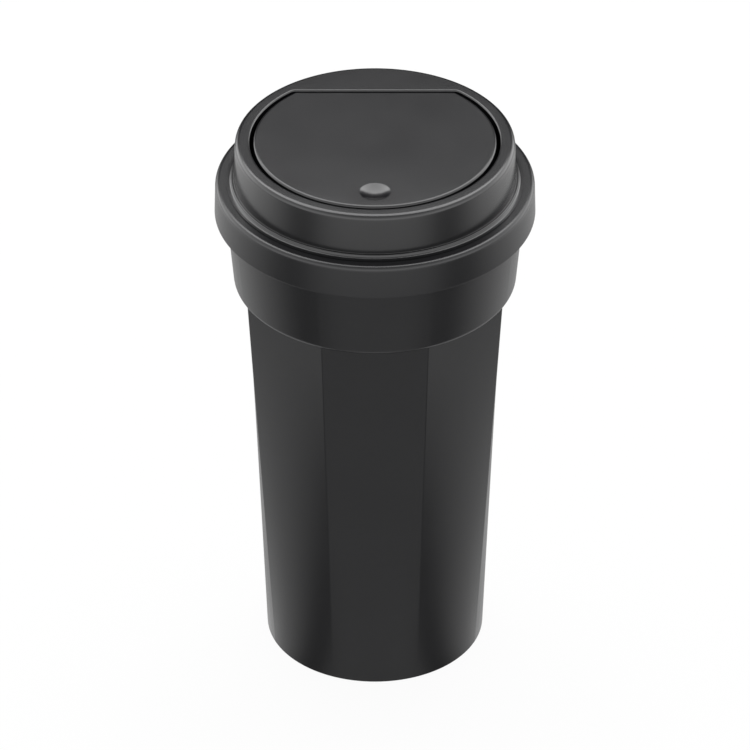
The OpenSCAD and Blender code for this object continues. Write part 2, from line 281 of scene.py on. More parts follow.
def ring_edges(ring: Sequence[BMVert]) -> list[BMEdge]:
    """Find the edges between a ring's own vertices.

    Args:
        ring: The ring's vertices.

    Returns:
        The edges.
    """
    own = set(ring)
    return list(dict.fromkeys(edge for vert in ring for edge in vert.link_edges if edge.other_vert(vert) in own))


def circles(facing: Sequence[Vector], profile: Iterable[Point], centre: Vector = ORIGIN) -> Rings:
    """Lay level circles about an upright axis, whose points face those of a ring.

    Args:
        facing: The ring's points.
        profile: The circles' radii and levels.
        centre: The axis's foot.

    Returns:
        The circles.
    """
    ways = [(Vector((point.x, point.y, 0)) - centre).normalized() for point in facing]
    return [[centre + way * radius + UP * z for way in ways] for radius, z in profile]


class RingSkin:
    """A skin that grows ring by ring from a circle, each ring with the same number of points."""

    def __init__(self, mesh: BMesh, first: Sequence[Vector]) -> None:
        """Lay the first ring.

        Args:
            mesh: The mesh to add to.
            first: The first ring's points.
        """
        self.mesh = mesh
        made = bmesh.ops.create_circle(mesh, segments=len(first), radius=1.0, cap_ends=False)
        self.first: list[BMVert] = made["verts"]
        self.last = self.first
        for vert, point in zip(self.first, first):
            vert.co = point

    def _extruded(self, ring: list[BMVert]) -> list[BMVert]:
        """Extrude a ring in place.

        Args:
            ring: The ring's vertices in order.

        Returns:
            The new ring, in the same order.
        """
        made = bmesh.ops.extrude_edge_only(self.mesh, edges=ring_edges(ring))
        fresh = set(verts_of(made["geom"]))
        return [next(e.other_vert(v) for e in v.link_edges if e.other_vert(v) in fresh) for v in ring]

    def grow(self, rings: Iterable[Sequence[Vector]]) -> None:
        """Extrude the last ring through more rings.

        Args:
            rings: The points of each ring.
        """
        for points in rings:
            self.last = self._extruded(self.last)
            for vert, point in zip(self.last, points):
                vert.co = point

    def close_with_fans(self, first_middle: Vector, last_middle: Vector) -> None:
        """Close both ends, each with a fan of triangles about a middle point.

        Args:
            first_middle: The first end's middle.
            last_middle: The last end's middle.
        """
        for ring, middle in ((self.first, first_middle), (self.last, last_middle)):
            bmesh.ops.pointmerge(self.mesh, verts=self._extruded(ring), merge_co=middle)

    def close_on_itself(self) -> None:
        """Join the last ring to the first."""
        bmesh.ops.bridge_loops(self.mesh, edges=ring_edges(self.first) + ring_edges(self.last))


def lathe(mesh: BMesh, outline: Sequence[Vector], centre: Vector, axis: Vector, degrees: float, steps: int) -> None:
    """Spin a closed outline about an axis, and close its ends if the turn isn't full.

    Args:
        mesh: The mesh to add to.
        outline: The outline's points in order.
        centre: A point on the axis.
        axis: The axis's direction.
        degrees: The turn.
        steps: The steps in the turn.
    """
    verts = [mesh.verts.new(point) for point in outline]
    edges = [mesh.edges.new((vert, verts[(i + 1) % len(verts)])) for i, vert in enumerate(verts)]
    full = degrees >= 360
    made = bmesh.ops.spin(
        mesh, geom=verts + edges, cent=centre, axis=axis, angle=radians(degrees), steps=steps, use_merge=full
    )
    if not full:
        ends = edges + [item for item in made["geom_last"] if isinstance(item, BMEdge)]
        bmesh.ops.holes_fill(mesh, edges=ends, sides=0)


def prism(mesh: BMesh, outline: Sequence[Vector], along: Vector) -> None:
    """Extrude a face through a few points.

    Args:
        mesh: The mesh to add to.
        outline: The face's points in order.
        along: The extrusion.
    """
    face = mesh.faces.new([mesh.verts.new(point) for point in outline])
    top = bmesh.ops.extrude_face_region(mesh, geom=[face])["geom"]
    bmesh.ops.translate(mesh, vec=along, verts=verts_of(top))


def block(mesh: BMesh, low: Sequence[float], high: Sequence[float], turn: float = 0.0) -> None:
    """Add a block between two corners, turned about the bin's axis.

    Args:
        mesh: The mesh to add to.
        low: The lowest corner.
        high: The highest corner.
        turn: The turn in degrees.
    """
    low, high = Vector(low), Vector(high)
    place = Matrix.Rotation(radians(turn), 4, "Z") @ Matrix.Translation((low + high) / 2)
    bmesh.ops.create_cube(mesh, size=1.0, matrix=place @ Matrix.Diagonal((*(high - low), 1.0)))


def make_piece(
    mesh: BMesh,
    name: str,
    body: Body,
    material: Material,
    replaces: str = "",
    sharp: float = 35.0,
) -> Object:
    """Turn a mesh in millimetres into a piece that rides on a body.

    Args:
        mesh: The mesh, which is freed.
        name: The piece's name.
        body: The body that it rides on.
        material: Its material.
        replaces: The CAD node that it stands for, if any.
        sharp: Edges that turn by more degrees than this stay sharp.

    Returns:
        The piece.
    """
    bmesh.ops.remove_doubles(mesh, verts=mesh.verts, dist=1e-4)
    bmesh.ops.recalc_face_normals(mesh, faces=mesh.faces)
    bmesh.ops.scale(mesh, vec=(MM, MM, MM), verts=mesh.verts)
    data = bpy.data.meshes.new(name)
    mesh.to_mesh(data)
    mesh.free()
    data.materials.append(material)
    data.shade_smooth()
    data.set_sharp_from_angle(angle=radians(sharp))
    piece = bpy.data.objects.new(name, data)
    bpy.context.scene.collection.objects.link(piece)
    normals = piece.modifiers.new("even_normals", "WEIGHTED_NORMAL")
    normals.keep_sharp = True
    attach(piece, body.value)
    if replaces:
        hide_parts(replaces)
    log.info("%s: %d faces, rides on %s", name, len(data.polygons), body.value)
    return piece


@dataclass
class Bucket:
    """The bucket: an eight-sided body that is a circle at the base, its shoulder and its mouth."""

    material: Material
    base_radius: float = 32.6
    body_height: float = 123.5
    apothem: float = 37.2
    sides: int = 8
    corner: float = 0.8
    wall: float = 1.8
    floor: float = 3.4
    floor_edge: float = 2.0
    foot_height: float = 1.2
    foot_width: float = 3.0
    foot_draft: float = 0.3
    foot_lean: float = 0.1
    foot_chamfer: float = 0.3
    base_edge: float = 0.5
    ledge: float = 4.3
    ledge_round: float = 2.9
    ledge_run_in: float = 0.5
    ledge_steps: int = 9
    collar_level: float = 148.0
    mouth_radius: float = 43.4
    mouth_inner: float = 41.9
    mouth_top: float = 156.1
    mouth_edge: float = 0.2
    mouth_run_out: float = 1.0
    shoulder_steps: int = 5
    flat_steps: int = 16
    corner_steps: int = 4
    body_levels: int = 14

    def _body_ring(self, radius: float, apothem: float, corner: float, z: float) -> list[Vector]:
        """Lay one ring of the body, on the lines from the base's circle to the flat-sided outline.

        Args:
            radius: The base circle's radius.
            apothem: The flats' distance from the axis at the top.
            corner: The corners' radius at the top.
            z: The ring's level.

        Returns:
            The ring's points.
        """
        up = min(z / self.body_height, 1.0)
        half = (apothem - corner) * tan(pi / self.sides)
        share = half / (half + corner * pi / self.sides)
        bend = [(1 - share) * k / self.corner_steps for k in range(self.corner_steps)]
        flat_part = [share * (2 * k / self.flat_steps - 1) for k in range(self.flat_steps + 1)]
        places = [-1 + b for b in bend] + flat_part + [share + b for b in bend[1:]]
        ring = []
        for side in range(self.sides):
            turn = Matrix.Rotation(pi - side * 2 * pi / self.sides, 3, "Z")
            for u in places:
                past = max(abs(u) - share, 0) / (1 - share) * pi / self.sides
                x = copysign(half * min(abs(u) / share, 1) + corner * sin(past), u)
                flat = Vector((x, apothem - corner + corner * cos(past), z))
                angle = u * pi / self.sides
                on_base = Vector((radius * sin(angle), radius * cos(angle), z))
                ring.append(turn @ on_base.lerp(flat, up))
        return ring

    def _ledge_rings(self, foot: Sequence[Vector], inset: float) -> Rings:
        """Lay the rings of the shoulder's rounded lower edge, from where it meets the body.

        Args:
            foot: The body's ring at the ledge.
            inset: The distance in from the outside.

        Returns:
            The rings, from the body outwards.
        """
        start = self.apothem - inset - self.ledge_run_in
        reach = self.ledge + self.ledge_run_in
        rings = []
        for k in range(self.ledge_steps + 1):
            ring = []
            for point in foot:
                way = Vector((point.x, point.y, 0))
                meets = asin((way.length - start) / reach)
                a = meets + (pi / 2 - meets) * k / self.ledge_steps
                level = self.body_height + inset + self.ledge_round * (1 - cos(a))
                ring.append(way.normalized() * (start + reach * sin(a)) + UP * level)
            rings.append(ring)
        return rings

    def _side(self, inset: float, corner: float, edge: float, low: float) -> Rings:
        """Lay the body's rings from its lower end to the ledge.

        Args:
            inset: The distance in from the outside.
            corner: The corners' radius at the top.
            edge: The rounding of the lower edge.
            low: The lower end's level.

        Returns:
            The rings, from the bottom up.
        """
        levels = [(low + edge * (1 - cos(a)), edge * (1 - sin(a))) for a in QUARTER_TURN]
        rise = self.body_height - low - edge
        levels += [(low + edge + rise * t, 0.0) for t in fractions(self.body_levels)]
        rings = [
            self._body_ring(self.base_radius - inset - draw, self.apothem - inset - draw, corner, z)
            for z, draw in levels
        ]
        return rings + self._ledge_rings(rings[-1], inset)

    def build(self) -> None:
        """Build the bucket as one skin, from under its floor, up outside, over the mouth and down inside."""
        outside = self._side(0.0, self.corner, self.base_edge, 0.0)
        inside = self._side(self.wall, self.corner / 2, self.floor_edge, self.floor)
        foot = self.base_radius - self.foot_width
        recess = [
            (foot - self.foot_height * self.foot_draft, self.foot_height),
            (foot - self.foot_lean, self.foot_chamfer),
            (foot - self.foot_lean + self.foot_chamfer, 0.0),
        ]
        shoulder_foot = outside[-1][0].z
        shoulder_radius = self.apothem + self.ledge
        shoulder = [
            (shoulder_radius + (self.mouth_radius - shoulder_radius) * t,
             shoulder_foot + (self.collar_level - shoulder_foot) * t) for t in fractions(self.shoulder_steps)
        ]
        outer, inner, top, edge = self.mouth_radius, self.mouth_inner, self.mouth_top, self.mouth_edge
        rim = [
            (outer, top - edge), (outer - edge, top), (inner + edge, top), (inner, top - edge),
            (inner, self.collar_level), (outer - self.wall, self.collar_level - self.mouth_run_out),
        ]
        mesh = bmesh.new()
        foot_rings = circles(outside[-1], recess)
        skin = RingSkin(mesh, foot_rings[0])
        skin.grow(foot_rings[1:] + outside + circles(outside[-1], shoulder + rim) + inside[::-1])
        skin.close_with_fans(UP * self.foot_height, UP * self.floor)
        make_piece(mesh, "bucket_moulding", Body.BUCKET, self.material, "bucket", sharp=50)


@dataclass
class Collar:
    """The collar: a band over the mouth, with an inner guide wall and ribs that grip the mouth."""

    material: Material
    radius: float = 46.8
    low: float = 148.0
    top: float = 158.3
    draft: float = 1.4
    edge: float = 1.5
    foot_edge: float = 0.4
    skirt_inner: float = 45.0
    roof: float = 156.1
    guide_inner: float = 40.5
    guide_outer: float = 41.6
    guide_low: float = 151.465
    guide_edge: float = 0.2
    lead_in: float = 0.3
    lead_height: float = 0.8
    grip_radius: float = 43.7
    grip_ribs: int = 24
    grip_width: float = 1.2
    grip_start: float = 1.0
    steps: int = 240

    def build(self) -> None:
        """Spin the band's outline and set the grip ribs inside it."""
        top_radius = self.radius - (self.top - self.low) * tan(radians(self.draft))
        outline = [
            *arc(self.radius - self.foot_edge, self.low + self.foot_edge, self.foot_edge, -90, 0, 4),
            *arc(top_radius - self.edge, self.top - self.edge, self.edge, 0, 90, 10),
            (self.guide_inner + self.guide_edge, self.top),
            (self.guide_inner, self.top - self.guide_edge),
            (self.guide_inner, self.guide_low), (self.guide_outer - self.lead_in, self.guide_low),
            (self.guide_outer, self.guide_low + self.lead_height), (self.guide_outer, self.roof),
            (self.skirt_inner, self.roof), (self.skirt_inner, self.low),
        ]
        mesh = bmesh.new()
        lathe(mesh, [Vector((r, 0, z)) for r, z in outline], ORIGIN, UP, 360, self.steps)
        half = self.grip_width / 2
        low = (self.grip_radius, -half, self.low + self.grip_start)
        high = (self.skirt_inner + SINK, half, self.roof + SINK)
        for i in range(self.grip_ribs):
            block(mesh, low, high, turn=i * 360 / self.grip_ribs)
        make_piece(mesh, "collar_moulding", Body.LID, self.material, "collar")


@dataclass(frozen=True)
class DOutline:
    """A circle that a straight edge cuts off towards +Y, with rounded corners."""

    radius: float
    chord: float
    corner: float
    window: float = 0.0
    arc_steps: int = 84
    corner_steps: int = 8
    chord_steps: int = 56
    wing_steps: int = 18
    slit: float = 0.005
    least_corner: float = 0.05

    def offset(self, by: float) -> "DOutline":
        """Move the outline outwards.

        Args:
            by: The distance.

        Returns:
            The new outline.
        """
        corner = max(self.corner + by, self.least_corner)
        return replace(self, radius=self.radius + by, chord=self.chord + by, corner=corner)

    def _chord_places(self, end: float) -> list[float]:
        """Lay points along the straight edge, with a pair at each side of the window if there is one.

        Args:
            end: Half the straight edge's length.

        Returns:
            The points' places from +X to -X, without the two ends.
        """
        if not self.window:
            return [end * (1 - 2 * k / self.chord_steps) for k in range(1, self.chord_steps)]
        wing = [end + (self.window + self.slit - end) * t for t in fractions(self.wing_steps)]
        inner = self.window - self.slit
        middle = [inner * (1 - 2 * k / self.wing_steps) for k in range(self.wing_steps + 1)]
        return wing + middle + [-x for x in reversed(wing)]

    def ring(self, z: float) -> list[Vector]:
        """Lay the outline at a level, from the front towards +X.

        Args:
            z: The level.

        Returns:
            The points.
        """
        y = self.chord - self.corner
        x = sqrt((self.radius - self.corner) ** 2 - y**2)
        turn = to_degrees(atan2(y, x))
        half = arc(0, 0, self.radius, -90, turn, self.arc_steps)
        half += arc(x, y, self.corner, turn, 90, self.corner_steps)[1:]
        chord = [(place, self.chord) for place in self._chord_places(x)]
        back = [(-a, b) for a, b in reversed(half[1:])]
        return [Vector((a, b, z)) for a, b in half + chord + back]


def rounded_rings(outline: DOutline, top: float, edge: float, outwards: bool) -> Rings:
    """Lay the rings of an outline's rounded upper edge, from the wall to the flat.

    Args:
        outline: The wall's outline.
        top: The flat's level.
        edge: The edge's radius.
        outwards: Whether the flat lies outside the outline.

    Returns:
        The rings, with both ends.
    """
    out = edge if outwards else -edge
    return [outline.offset(out * (1 - cos(a))).ring(top - edge + edge * sin(a)) for a in QUARTER_TURN]


@dataclass(frozen=True)
class HingeLine:
    """Where the pin lies, and its sizes."""

    y: float = 30.0
    z: float = 166.45
    pin_radius: float = 1.0
    lug_inner: float = 18.4
    lug_outer: float = 21.4
    lug_radius: float = 2.8
    tube_edge: float = 0.2

    def at(self, x: float, y: float = 0.0, z: float = 0.0) -> Vector:
        """Find a point from its place about the pin.

        Args:
            x: The place along the pin.
            y: The distance behind the pin's axis.
            z: The height above it.

        Returns:
            The point in the bin's frame.
        """
        return Vector((x, self.y + y, self.z + z))

    def eye(self, mesh: BMesh, x0: float, x1: float, inner: float, outer: float) -> None:
        """Add a tube about the pin.

        Args:
            mesh: The mesh to add to.
            x0: One end.
            x1: The other end.
            inner: The bore's radius.
            outer: The tube's radius.
        """
        edge = self.tube_edge
        profile = [(x0, inner), (x0, outer - edge), (x0 + edge, outer)]
        profile += [(x1 - edge, outer), (x1, outer - edge), (x1, inner)]
        lathe(mesh, [self.at(x, 0, r) for x, r in profile], self.at(0), ALONG_X, 360, ROUND_STEPS)

    def plate(self, mesh: BMesh, outline: Points, x0: float, x1: float) -> None:
        """Extrude an outline about the pin from one place along it to another.

        Args:
            mesh: The mesh to add to.
            outline: The points in the plane square to the pin.
            x0: One face's place.
            x1: The other face's place.
        """
        prism(mesh, [self.at(x0, y, z) for y, z in outline], ALONG_X * (x1 - x0))


@dataclass
class LidRing:
    """The lid's drum with its foot flange, its deck with a D-shaped opening, its spigot and its lugs."""

    material: Material
    hinge: HingeLine
    opening: DOutline = DOutline(36.35, 27.2, 2.2)
    radius: float = 41.1
    bore: float = 38.9
    foot: float = 158.3
    top: float = 171.9
    deck_under: float = 169.9
    draft: float = 1.9
    edge: float = 1.6
    opening_edge: float = 0.6
    flange_radius: float = 43.3
    flange_height: float = 1.3
    flange_lip: float = 0.03
    flange_edge: float = 0.1
    ledge_radius: float = 41.9
    ledge_edge: float = 0.25
    cove: float = 0.85
    cove_start: float = 10.0
    cove_end: float = 85.0
    foot_fillet: float = 0.12
    spigot: float = 40.3
    spigot_low: float = 150.365
    bead: float = 0.6
    bead_top: float = 151.265
    bead_band: float = 0.3
    pin_grip: float = 0.02

    def _profile(self) -> list[Point]:
        """Lay the profile from the deck's outer edge, down the drum and the spigot, to under the deck.

        Returns:
            The profile's radii and levels.
        """
        foot_top = self.foot + self.flange_height
        top_radius = self.radius - (self.top - foot_top) * tan(radians(self.draft))
        upper = arc(top_radius - self.edge, self.top - self.edge, self.edge, 90, 0, 10)
        fillet = arc(self.radius + self.foot_fillet, foot_top + self.foot_fillet, self.foot_fillet, 180, 270, 4)
        ledge = arc(
            self.ledge_radius - self.ledge_edge, foot_top - self.ledge_edge, self.ledge_edge, 90, self.cove_start, 4
        )
        out, up = polar(self.cove, self.cove_start)
        cove = arc(
            ledge[-1][0] + out, ledge[-1][1] + up, self.cove, 180 + self.cove_start, 180 + self.cove_end, 10
        )
        (r0, z0), (r1, z1) = upper[-1], fillet[0]
        wall = [(r0 + (r1 - r0) * t, z0 + (z1 - z0) * t) for t in fractions(4)[:-1]]
        flange = [
            (self.flange_radius, cove[-1][1] - self.flange_lip),
            (self.flange_radius, self.foot + self.flange_edge),
            (self.flange_radius - self.flange_edge, self.foot),
        ]
        snap = self.spigot + self.bead
        spigot = [
            (self.spigot, self.foot), (self.spigot, self.bead_top), (snap, self.bead_top),
            (snap, self.bead_top - self.bead_band), (self.spigot, self.spigot_low),
        ]
        bore = [(self.bore, self.spigot_low), (self.bore, self.deck_under)]
        return upper + wall + fillet + ledge + cove[1:] + flange + spigot + bore

    def _lug(self, mesh: BMesh, side: int) -> None:
        """Add the lug that holds one end of the pin.

        Args:
            mesh: The lid's mesh.
            side: 1 at +X and -1 at -X.
        """
        pin = self.hinge
        rise = self.deck_under - pin.z + SINK
        x0, x1 = sorted((side * pin.lug_inner, side * pin.lug_outer))
        pin.eye(mesh, x0, x1, pin.pin_radius + self.pin_grip, pin.lug_radius)
        eye = arc(0, 0, (pin.pin_radius + pin.lug_radius) / 2, 0, 180, 12)
        web = [(pin.lug_radius, 0), *eye, (-pin.lug_radius, 0), (-pin.lug_radius, rise), (pin.lug_radius, rise)]
        pin.plate(mesh, web, x0, x1)

    def build(self) -> None:
        """Build the lid as one skin that closes on itself, and hang the lugs under its deck."""
        opening = rounded_rings(self.opening, self.top, self.opening_edge, outwards=True)
        drum = circles(self.opening.ring(0), self._profile())
        mesh = bmesh.new()
        skin = RingSkin(mesh, opening[0])
        skin.grow(opening[1:] + drum + [self.opening.ring(self.deck_under)])
        skin.close_on_itself()
        for side in (-1, 1):
            self._lug(mesh, side)
        make_piece(mesh, "lid_moulding", Body.LID, self.material, "lid_ring")


@dataclass
class Flap:
    """The flap: its plate with the thumb dimple, its skirt and ribs, its hinge barrels and its stops."""

    material: Material
    hinge: HingeLine
    outline: DOutline = DOutline(35.4, 26.6, 1.6, window=4.88)
    top: float = 171.9
    under: float = 169.9
    edge: float = 0.9
    skirt_low: float = 167.3
    skirt: float = 1.6
    skirt_edge: float = 0.2
    rib: float = 1.4
    rib_low: float = 167.7
    rib_sink: float = 0.3
    dimple: float = 4.5
    dimple_depth: float = 1.0
    dimple_y: float = -27.3
    dimple_edge: float = 0.4
    dish_rings: tuple[float, ...] = (0.05, 0.2, 0.4, 0.6, 0.8, 0.92)
    boss: float = 5.1
    boss_face: float = 3.7
    boss_low: float = 169.2
    lip_radius: float = 37.9
    lip_low: float = 167.8
    lip_top: float = 169.6
    lip_angle: float = 26.0
    lip_steps: int = 26
    barrel_start: float = 9.05
    barrel_end: float = 18.05
    barrel: float = 2.6
    pin_play: float = 0.05
    arm: float = 2.4
    arm_lead: float = 0.2
    arm_toe: float = 0.4
    heel: float = 1.6
    heel_reach: float = 3.66
    heel_angle: float = 15.0
    mesh: BMesh = field(init=False, default_factory=bmesh.new)

    def _dish_profile(self) -> list[Point]:
        """Lay the dimple's dish and its rounded edge.

        Returns:
            Radii about the dimple's centre, and levels, from the middle outwards.
        """
        ball = (self.dimple**2 + self.dimple_depth**2) / (2 * self.dimple_depth)
        centre = self.top + ball - self.dimple_depth
        slope = to_degrees(asin(self.dimple / ball))
        middle = self.dimple + self.dimple_edge * tan(radians(slope / 2))
        edge = arc(middle, self.top - self.dimple_edge, self.dimple_edge, 90 + slope, 90, 5)
        dish = [edge[0][0] * t for t in self.dish_rings]
        return [(r, centre - sqrt(ball**2 - r**2)) for r in dish] + edge

    def _skirt_ring(self, inset: float, z: float) -> list[Vector]:
        """Lay a ring of the skirt, raised to the plate where the spring's leg passes through.

        Args:
            inset: The distance in from the flap's outline.
            z: The ring's level.

        Returns:
            The ring's points.
        """
        ring = self.outline.offset(-inset).ring(z)
        for point in ring:
            if point.y > 0 and abs(point.x) < self.outline.window:
                point.z = self.under
        return ring

    def _plate(self) -> None:
        """Add the plate with its dimple and skirt, as one skin from the dish to the boss under it."""
        middle = Vector((0, self.dimple_y, 0))
        facing = self.outline.ring(0)
        dish = circles(facing, self._dish_profile(), middle)
        edge = rounded_rings(self.outline, self.top, self.edge, outwards=False)
        soft, low = self.skirt_edge, self.skirt_low
        inner = self.skirt
        places = [(0, low + soft), (soft, low), (inner - soft, low), (inner, low + soft), (inner, self.under)]
        skirt = [self._skirt_ring(inset, z) for inset, z in places]
        boss = circles(facing, [(self.boss, self.under), (self.boss_face, self.boss_low)], middle)
        skin = RingSkin(self.mesh, dish[0])
        skin.grow(dish[1:] + edge[::-1] + skirt + boss)
        skin.close_with_fans(middle + UP * (self.top - self.dimple_depth), middle + UP * self.boss_low)

    def _ribs(self) -> None:
        """Add four ribs in line with the arms, and one across."""
        reach = self.outline.radius - self.skirt + self.rib_sink
        back = self.outline.chord - self.skirt + self.rib_sink
        half = self.rib / 2
        for side in (-1, 1):
            for place in (self.barrel_start + self.arm / 2, self.barrel_end - self.arm / 2):
                x = side * place
                front = -sqrt(reach**2 - (place + half) ** 2)
                block(self.mesh, (x - half, front, self.rib_low), (x + half, back, self.under + SINK))
        block(self.mesh, (-reach, -half, self.rib_low), (reach, half, self.under + SINK))

    def _barrel(self, side: int) -> None:
        """Add one hinge barrel with its two arms and its heel.

        Args:
            side: 1 at +X and -1 at -X.
        """
        pin = self.hinge
        x0, x1 = sorted((side * self.barrel_start, side * self.barrel_end))
        pin.eye(self.mesh, x0, x1, pin.pin_radius + self.pin_play, self.barrel)
        eye = (pin.pin_radius + self.barrel) / 2
        back = self.outline.chord - pin.y
        front, rise = back - self.skirt / 2, self.under - pin.z
        arm = [
            (front, self.skirt_low - pin.z), (front, rise), (back - self.arm_lead, rise),
            (back, self.barrel), (0, self.barrel),
            *arc(0, 0, eye, 90, 225, 9),
            (-self.barrel, -self.barrel * self.arm_toe),
        ]
        for start in (x0, x1 - self.arm):
            pin.plate(self.mesh, arm, start, start + self.arm)
        tip = self.heel / 2
        heel = [(eye, -tip), *arc(self.heel_reach, 0, tip, -90, 90, 10), (eye, tip)]
        turn = Matrix.Rotation(radians(-self.heel_angle), 2)
        pin.plate(self.mesh, [tuple(turn @ Vector(point)) for point in heel], x0 + self.arm, x1 - self.arm)

    def _stop_lip(self) -> None:
        """Add the lip that rests under the deck's lip at the front."""
        inner = self.outline.radius - self.skirt / 2
        low, high = self.lip_low, self.lip_top
        corners = [(inner, low), (self.lip_radius, low), (self.lip_radius, high), (inner, high)]
        turn = Matrix.Rotation(radians(-90 - self.lip_angle), 3, "Z")
        outline = [turn @ Vector((r, 0, z)) for r, z in corners]
        lathe(self.mesh, outline, ORIGIN, UP, 2 * self.lip_angle, self.lip_steps)

    def build(self) -> None:
        """Build the flap's plate and everything under it."""
        self._plate()
        self._ribs()
        self._stop_lip()
        for side in (-1, 1):
            self._barrel(side)
        make_piece(self.mesh, "flap_moulding", Body.FLAP, self.material, "flap")


@dataclass
class Hinge:
    """The steel pin and the torsion spring round it."""

    material: Material
    line: HingeLine
    pin_length: float = 42.4
    pin_chamfer: float = 0.3
    wire: float = 0.3
    wire_sides: int = 14
    coil: float = 1.85
    turns: int = 8
    pitch: float = 0.72
    steps_a_turn: int = 32
    flap_leg: float = 16.0
    deck_leg: float = 6.0
    leg_play: float = 0.1
    plate_under: float = 169.9
    shared: float = 60.0

    def _tilt(self, length: float) -> float:
        """Find the tilt at which a straight leg off the coil meets the plate above.

        Args:
            length: The leg's length.

        Returns:
            The tilt in degrees.
        """
        rise = self.plate_under - self.line.z - self.wire - self.leg_play
        return to_degrees(atan2(length, self.coil) - acos(rise / hypot(self.coil, length)))

    def _coil_point(self, x: float, turn: float) -> Vector:
        """Find the wire's middle round the coil.

        Args:
            x: The place along the pin.
            turn: The angle in degrees from the top, towards the flap.

        Returns:
            The point.
        """
        up, towards = polar(self.coil, turn)
        return self.line.at(x, -towards, up)

    def _wire_ring(self, mesh: BMesh, place: Vector, way: Vector) -> list[BMVert]:
        """Add a ring of the wire, square to a direction.

        Args:
            mesh: The spring's mesh.
            place: The ring's middle.
            way: The wire's direction.

        Returns:
            The ring's vertices.
        """
        turn = way.to_track_quat("Z", "X").to_matrix().to_4x4()
        made = bmesh.ops.create_circle(
            mesh, segments=self.wire_sides, radius=self.wire, cap_ends=False, matrix=Matrix.Translation(place) @ turn
        )
        return made["verts"]

    def _run_straight(self, mesh: BMesh, ring: list[BMVert], along: Vector) -> list[BMVert]:
        """Extrude a ring of the wire along a leg.

        Args:
            mesh: The spring's mesh.
            ring: The ring's vertices.
            along: The leg.

        Returns:
            The new ring's vertices.
        """
        made = verts_of(bmesh.ops.extrude_edge_only(mesh, edges=ring_edges(ring))["geom"])
        bmesh.ops.translate(mesh, vec=along, verts=made)
        return made

    def _wind(self, mesh: BMesh, ring: list[BMVert], degrees: float) -> list[BMVert]:
        """Wind the wire round the pin, towards -X.

        Args:
            mesh: The spring's mesh.
            ring: The ring's vertices.
            degrees: The turn.

        Returns:
            The last ring's vertices.
        """
        steps = max(round(degrees / 360 * self.steps_a_turn), 1)
        made = bmesh.ops.spin(
            mesh,
            geom=ring + ring_edges(ring),
            cent=self.line.at(0),
            axis=ALONG_X,
            dvec=ALONG_X * (-self.pitch * degrees / 360 / steps),
            angle=radians(degrees),
            steps=steps,
        )
        return verts_of(made["geom_last"])

    def _build_pin(self) -> None:
        """Build the pin with its chamfered ends."""
        mesh = bmesh.new()
        place = Matrix.Translation(self.line.at(0)) @ Matrix.Rotation(pi / 2, 4, "Y")
        radius = self.line.pin_radius
        size = {"radius1": radius, "radius2": radius, "depth": self.pin_length}
        bmesh.ops.create_cone(mesh, cap_ends=True, segments=ROUND_STEPS, matrix=place, **size)
        ends = [edge for edge in mesh.edges if any(len(face.verts) > 4 for face in edge.link_faces)]
        bmesh.ops.bevel(
            mesh, geom=ends, offset=self.pin_chamfer, segments=2, profile=0.5, affect="EDGES", material=-1
        )
        make_piece(mesh, "hinge_pin_steel", Body.LID, self.material, "hinge_pin")

    def _build_spring(self) -> None:
        """Build the coil with its short leg under the deck, and the long leg, which swings with the flap."""
        half = self.turns * self.pitch / 2
        deck_tilt, flap_tilt = self._tilt(self.deck_leg), self._tilt(self.flap_leg)
        turn = 360 * self.turns - flap_tilt - deck_tilt
        short = Vector((0, *polar(self.deck_leg, deck_tilt)))
        coil = bmesh.new()
        tip = self._wire_ring(coil, self._coil_point(half, deck_tilt) + short, -short.normalized())
        self._wind(coil, self._run_straight(coil, tip, -short), turn)

        leg = bmesh.new()
        run, rise = polar(self.flap_leg, flap_tilt)
        start = 360 * self.turns - flap_tilt - self.shared
        lift, towards = polar(1.0, start)
        place = self._coil_point(half - self.pitch * turn / 360 + self.pitch * self.shared / 360, start)
        ring = self._wind(leg, self._wire_ring(leg, place, Vector((0, -lift, -towards))), self.shared)
        self._run_straight(leg, ring, Vector((0, -run, rise)))
        for mesh, name, body, replaces in (
            (coil, "spring_coil", Body.LID, "return_spring"),
            (leg, "spring_leg", Body.FLAP, ""),
        ):
            bmesh.ops.holes_fill(mesh, edges=[edge for edge in mesh.edges if edge.is_boundary], sides=0)
            make_piece(mesh, name, body, self.material, replaces)

    def build(self) -> None:
        """Build the pin and the spring."""
        self._build_pin()
        self._build_spring()


def read_ramp(tree: NodeTree, place: Source, stops: Points) -> Node:
    """Read a number off a ramp.

    Args:
        tree: The node tree.
        place: The place on the ramp, from 0 to 1.
        stops: The ramp's places and numbers.

    Returns:
        The node that gives the number.
    """
    ramp = add_node(tree, "ShaderNodeValToRGB", {"Fac": place})
    elements = ramp.color_ramp.elements
    peak = max(number for _, number in stops)
    for at, _ in stops[1:-1]:
        elements.new(at)
    for element, (_, number) in zip(elements, stops):
        element.color = (*[number / peak] * 3, 1.0)
    return add_node(tree, "ShaderNodeMath", {0: ramp, 1: peak}, operation="MULTIPLY")


def find_azimuth(tree: NodeTree, way: NodeSocket) -> Node:
    """Find a direction's azimuth.

    Args:
        tree: The node tree.
        way: The direction.

    Returns:
        The node that gives 0 at the bin's front and 1 at its back.
    """
    parts = add_node(tree, "ShaderNodeSeparateXYZ", {0: way}).outputs
    side = add_node(tree, "ShaderNodeMath", {0: parts["X"]}, operation="ABSOLUTE")
    front = add_node(tree, "ShaderNodeMath", {0: parts["Y"], 1: -1.0}, operation="MULTIPLY")
    angle = add_node(tree, "ShaderNodeMath", {0: side, 1: front}, operation="ARCTAN2")
    return add_node(tree, "ShaderNodeMath", {0: angle, 1: 1 / pi}, operation="MULTIPLY")


